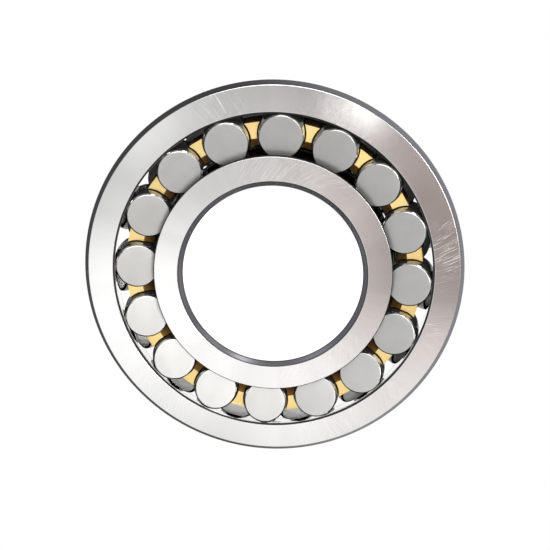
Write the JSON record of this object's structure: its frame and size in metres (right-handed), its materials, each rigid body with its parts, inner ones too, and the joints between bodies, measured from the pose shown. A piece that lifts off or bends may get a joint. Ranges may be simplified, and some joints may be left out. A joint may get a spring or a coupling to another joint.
{
  "type": "spherical roller bearing",
  "caption": "Open double-row spherical roller bearing with a cylindrical bore, barrel rollers, a machined brass cage and a self-aligning inner assembly.",
  "frame": {"origin": "the centre of the spherical raceway, which is the middle of the bearing", "axes": "+Z along the bearing's axis, out of the front face; the two side faces lie at half the width on each side; the first front roller stands close to +Y"},
  "size_m": [0.2, 0.2, 0.067],
  "materials": {
    "outer_ring_steel": "ground hardened steel, bright, with fine grinding marks on the side faces",
    "inner_ring_steel": "ground hardened steel, bright, with fine grinding marks on the side faces",
    "roller_steel": "satin ground roller ends, polished barrel surfaces",
    "cage_brass": "machined brass with turned faces and drilled pockets",
    "guide_ring_iron": "turned dark grey iron"
  },
  "bodies": {
    "outer_ring": {"outer_ring": "outer_ring_steel"},
    "guide_ring": {"guide_ring": "guide_ring_iron"},
    "inner_ring": {"inner_ring": "inner_ring_steel"},
    "cage": {"cage": "cage_brass"},
    "front_roller_01": {"front_roller_01": "roller_steel"},
    "front_roller_02": {"front_roller_02": "roller_steel"},
    "front_roller_03": {"front_roller_03": "roller_steel"},
    "front_roller_04": {"front_roller_04": "roller_steel"},
    "front_roller_05": {"front_roller_05": "roller_steel"},
    "front_roller_06": {"front_roller_06": "roller_steel"},
    "front_roller_07": {"front_roller_07": "roller_steel"},
    "front_roller_08": {"front_roller_08": "roller_steel"},
    "front_roller_09": {"front_roller_09": "roller_steel"},
    "front_roller_10": {"front_roller_10": "roller_steel"},
    "front_roller_11": {"front_roller_11": "roller_steel"},
    "front_roller_12": {"front_roller_12": "roller_steel"},
    "front_roller_13": {"front_roller_13": "roller_steel"},
    "front_roller_14": {"front_roller_14": "roller_steel"},
    "front_roller_15": {"front_roller_15": "roller_steel"},
    "front_roller_16": {"front_roller_16": "roller_steel"},
    "back_roller_01": {"back_roller_01": "roller_steel"},
    "back_roller_02": {"back_roller_02": "roller_steel"},
    "back_roller_03": {"back_roller_03": "roller_steel"},
    "back_roller_04": {"back_roller_04": "roller_steel"},
    "back_roller_05": {"back_roller_05": "roller_steel"},
    "back_roller_06": {"back_roller_06": "roller_steel"},
    "back_roller_07": {"back_roller_07": "roller_steel"},
    "back_roller_08": {"back_roller_08": "roller_steel"},
    "back_roller_09": {"back_roller_09": "roller_steel"},
    "back_roller_10": {"back_roller_10": "roller_steel"},
    "back_roller_11": {"back_roller_11": "roller_steel"},
    "back_roller_12": {"back_roller_12": "roller_steel"},
    "back_roller_13": {"back_roller_13": "roller_steel"},
    "back_roller_14": {"back_roller_14": "roller_steel"},
    "back_roller_15": {"back_roller_15": "roller_steel"},
    "back_roller_16": {"back_roller_16": "roller_steel"}
  },
  "joints": [
    {"name": "self_align", "type": "hinge", "parent": "outer_ring", "child": "guide_ring", "pos_m": [0, 0, 0], "axis": [1, 0, 0], "range_deg": [-2, 2]},
    {"name": "inner_ring_turn", "type": "hinge", "parent": "guide_ring", "child": "inner_ring", "pos_m": [0, 0, 0], "axis": [0, 0, 1], "continuous": true},
    {"name": "cage_turn", "type": "hinge", "parent": "guide_ring", "child": "cage", "pos_m": [0, 0, 0], "axis": [0, 0, 1], "continuous": true},
    {"name": "front_roller_01_spin", "type": "hinge", "parent": "cage", "child": "front_roller_01", "pos_m": [0.00443, 0.07464, 0.01795], "axis": [-0.0138, -0.233, 0.9724], "continuous": true},
    {"name": "front_roller_02_spin", "type": "hinge", "parent": "cage", "child": "front_roller_02", "pos_m": [0.03266, 0.06726, 0.01795], "axis": [-0.102, -0.21, 0.9724], "continuous": true},
    {"name": "front_roller_03_spin", "type": "hinge", "parent": "cage", "child": "front_roller_03", "pos_m": [0.05591, 0.04964, 0.01795], "axis": [-0.1746, -0.155, 0.9724], "continuous": true},
    {"name": "front_roller_04_spin", "type": "hinge", "parent": "cage", "child": "front_roller_04", "pos_m": [0.07065, 0.02447, 0.01795], "axis": [-0.2206, -0.0764, 0.9724], "continuous": true},
    {"name": "front_roller_05_spin", "type": "hinge", "parent": "cage", "child": "front_roller_05", "pos_m": [0.07464, -0.00443, 0.01795], "axis": [-0.233, 0.0138, 0.9724], "continuous": true},
    {"name": "front_roller_06_spin", "type": "hinge", "parent": "cage", "child": "front_roller_06", "pos_m": [0.06726, -0.03266, 0.01795], "axis": [-0.21, 0.102, 0.9724], "continuous": true},
    {"name": "front_roller_07_spin", "type": "hinge", "parent": "cage", "child": "front_roller_07", "pos_m": [0.04964, -0.05591, 0.01795], "axis": [-0.155, 0.1746, 0.9724], "continuous": true},
    {"name": "front_roller_08_spin", "type": "hinge", "parent": "cage", "child": "front_roller_08", "pos_m": [0.02447, -0.07065, 0.01795], "axis": [-0.0764, 0.2206, 0.9724], "continuous": true},
    {"name": "front_roller_09_spin", "type": "hinge", "parent": "cage", "child": "front_roller_09", "pos_m": [-0.00443, -0.07464, 0.01795], "axis": [0.0138, 0.233, 0.9724], "continuous": true},
    {"name": "front_roller_10_spin", "type": "hinge", "parent": "cage", "child": "front_roller_10", "pos_m": [-0.03266, -0.06726, 0.01795], "axis": [0.102, 0.21, 0.9724], "continuous": true},
    {"name": "front_roller_11_spin", "type": "hinge", "parent": "cage", "child": "front_roller_11", "pos_m": [-0.05591, -0.04964, 0.01795], "axis": [0.1746, 0.155, 0.9724], "continuous": true},
    {"name": "front_roller_12_spin", "type": "hinge", "parent": "cage", "child": "front_roller_12", "pos_m": [-0.07065, -0.02447, 0.01795], "axis": [0.2206, 0.0764, 0.9724], "continuous": true},
    {"name": "front_roller_13_spin", "type": "hinge", "parent": "cage", "child": "front_roller_13", "pos_m": [-0.07464, 0.00443, 0.01795], "axis": [0.233, -0.0138, 0.9724], "continuous": true},
    {"name": "front_roller_14_spin", "type": "hinge", "parent": "cage", "child": "front_roller_14", "pos_m": [-0.06726, 0.03266, 0.01795], "axis": [0.21, -0.102, 0.9724], "continuous": true},
    {"name": "front_roller_15_spin", "type": "hinge", "parent": "cage", "child": "front_roller_15", "pos_m": [-0.04964, 0.05591, 0.01795], "axis": [0.155, -0.1746, 0.9724], "continuous": true},
    {"name": "front_roller_16_spin", "type": "hinge", "parent": "cage", "child": "front_roller_16", "pos_m": [-0.02447, 0.07065, 0.01795], "axis": [0.0764, -0.2206, 0.9724], "continuous": true},
    {"name": "back_roller_01_spin", "type": "hinge", "parent": "cage", "child": "back_roller_01", "pos_m": [0.01891, 0.07234, -0.01795], "axis": [0.059, 0.2259, 0.9724], "continuous": true},
    {"name": "back_roller_02_spin", "type": "hinge", "parent": "cage", "child": "back_roller_02", "pos_m": [0.04515, 0.05959, -0.01795], "axis": [0.141, 0.1861, 0.9724], "continuous": true},
    {"name": "back_roller_03_spin", "type": "hinge", "parent": "cage", "child": "back_roller_03", "pos_m": [0.06452, 0.03778, -0.01795], "axis": [0.2015, 0.118, 0.9724], "continuous": true},
    {"name": "back_roller_04_spin", "type": "hinge", "parent": "cage", "child": "back_roller_04", "pos_m": [0.07407, 0.01021, -0.01795], "axis": [0.2313, 0.0319, 0.9724], "continuous": true},
    {"name": "back_roller_05_spin", "type": "hinge", "parent": "cage", "child": "back_roller_05", "pos_m": [0.07234, -0.01891, -0.01795], "axis": [0.2259, -0.059, 0.9724], "continuous": true},
    {"name": "back_roller_06_spin", "type": "hinge", "parent": "cage", "child": "back_roller_06", "pos_m": [0.05959, -0.04515, -0.01795], "axis": [0.1861, -0.141, 0.9724], "continuous": true},
    {"name": "back_roller_07_spin", "type": "hinge", "parent": "cage", "child": "back_roller_07", "pos_m": [0.03778, -0.06452, -0.01795], "axis": [0.118, -0.2015, 0.9724], "continuous": true},
    {"name": "back_roller_08_spin", "type": "hinge", "parent": "cage", "child": "back_roller_08", "pos_m": [0.01021, -0.07407, -0.01795], "axis": [0.0319, -0.2313, 0.9724], "continuous": true},
    {"name": "back_roller_09_spin", "type": "hinge", "parent": "cage", "child": "back_roller_09", "pos_m": [-0.01891, -0.07234, -0.01795], "axis": [-0.059, -0.2259, 0.9724], "continuous": true},
    {"name": "back_roller_10_spin", "type": "hinge", "parent": "cage", "child": "back_roller_10", "pos_m": [-0.04515, -0.05959, -0.01795], "axis": [-0.141, -0.1861, 0.9724], "continuous": true},
    {"name": "back_roller_11_spin", "type": "hinge", "parent": "cage", "child": "back_roller_11", "pos_m": [-0.06452, -0.03778, -0.01795], "axis": [-0.2015, -0.118, 0.9724], "continuous": true},
    {"name": "back_roller_12_spin", "type": "hinge", "parent": "cage", "child": "back_roller_12", "pos_m": [-0.07407, -0.01021, -0.01795], "axis": [-0.2313, -0.0319, 0.9724], "continuous": true},
    {"name": "back_roller_13_spin", "type": "hinge", "parent": "cage", "child": "back_roller_13", "pos_m": [-0.07234, 0.01891, -0.01795], "axis": [-0.2259, 0.059, 0.9724], "continuous": true},
    {"name": "back_roller_14_spin", "type": "hinge", "parent": "cage", "child": "back_roller_14", "pos_m": [-0.05959, 0.04515, -0.01795], "axis": [-0.1861, 0.141, 0.9724], "continuous": true},
    {"name": "back_roller_15_spin", "type": "hinge", "parent": "cage", "child": "back_roller_15", "pos_m": [-0.03778, 0.06452, -0.01795], "axis": [-0.118, 0.2015, 0.9724], "continuous": true},
    {"name": "back_roller_16_spin", "type": "hinge", "parent": "cage", "child": "back_roller_16", "pos_m": [-0.01021, 0.07407, -0.01795], "axis": [-0.0319, 0.2313, 0.9724], "continuous": true}
  ],
  "couplings": [
    {"joint": "cage_turn", "follows": "inner_ring_turn", "ratio": 0.41937},
    {"joint": "front_roller_01_spin", "follows": "inner_ring_turn", "ratio": -2.9364},
    {"joint": "front_roller_02_spin", "follows": "inner_ring_turn", "ratio": -2.9364},
    {"joint": "front_roller_03_spin", "follows": "inner_ring_turn", "ratio": -2.9364},
    {"joint": "front_roller_04_spin", "follows": "inner_ring_turn", "ratio": -2.9364},
    {"joint": "front_roller_05_spin", "follows": "inner_ring_turn", "ratio": -2.9364},
    {"joint": "front_roller_06_spin", "follows": "inner_ring_turn", "ratio": -2.9364},
    {"joint": "front_roller_07_spin", "follows": "inner_ring_turn", "ratio": -2.9364},
    {"joint": "front_roller_08_spin", "follows": "inner_ring_turn", "ratio": -2.9364},
    {"joint": "front_roller_09_spin", "follows": "inner_ring_turn", "ratio": -2.9364},
    {"joint": "front_roller_10_spin", "follows": "inner_ring_turn", "ratio": -2.9364},
    {"joint": "front_roller_11_spin", "follows": "inner_ring_turn", "ratio": -2.9364},
    {"joint": "front_roller_12_spin", "follows": "inner_ring_turn", "ratio": -2.9364},
    {"joint": "front_roller_13_spin", "follows": "inner_ring_turn", "ratio": -2.9364},
    {"joint": "front_roller_14_spin", "follows": "inner_ring_turn", "ratio": -2.9364},
    {"joint": "front_roller_15_spin", "follows": "inner_ring_turn", "ratio": -2.9364},
    {"joint": "front_roller_16_spin", "follows": "inner_ring_turn", "ratio": -2.9364},
    {"joint": "back_roller_01_spin", "follows": "inner_ring_turn", "ratio": -2.9364},
    {"joint": "back_roller_02_spin", "follows": "inner_ring_turn", "ratio": -2.9364},
    {"joint": "back_roller_03_spin", "follows": "inner_ring_turn", "ratio": -2.9364},
    {"joint": "back_roller_04_spin", "follows": "inner_ring_turn", "ratio": -2.9364},
    {"joint": "back_roller_05_spin", "follows": "inner_ring_turn", "ratio": -2.9364},
    {"joint": "back_roller_06_spin", "follows": "inner_ring_turn", "ratio": -2.9364},
    {"joint": "back_roller_07_spin", "follows": "inner_ring_turn", "ratio": -2.9364},
    {"joint": "back_roller_08_spin", "follows": "inner_ring_turn", "ratio": -2.9364},
    {"joint": "back_roller_09_spin", "follows": "inner_ring_turn", "ratio": -2.9364},
    {"joint": "back_roller_10_spin", "follows": "inner_ring_turn", "ratio": -2.9364},
    {"joint": "back_roller_11_spin", "follows": "inner_ring_turn", "ratio": -2.9364},
    {"joint": "back_roller_12_spin", "follows": "inner_ring_turn", "ratio": -2.9364},
    {"joint": "back_roller_13_spin", "follows": "inner_ring_turn", "ratio": -2.9364},
    {"joint": "back_roller_14_spin", "follows": "inner_ring_turn", "ratio": -2.9364},
    {"joint": "back_roller_15_spin", "follows": "inner_ring_turn", "ratio": -2.9364},
    {"joint": "back_roller_16_spin", "follows": "inner_ring_turn", "ratio": -2.9364}
  ]
}
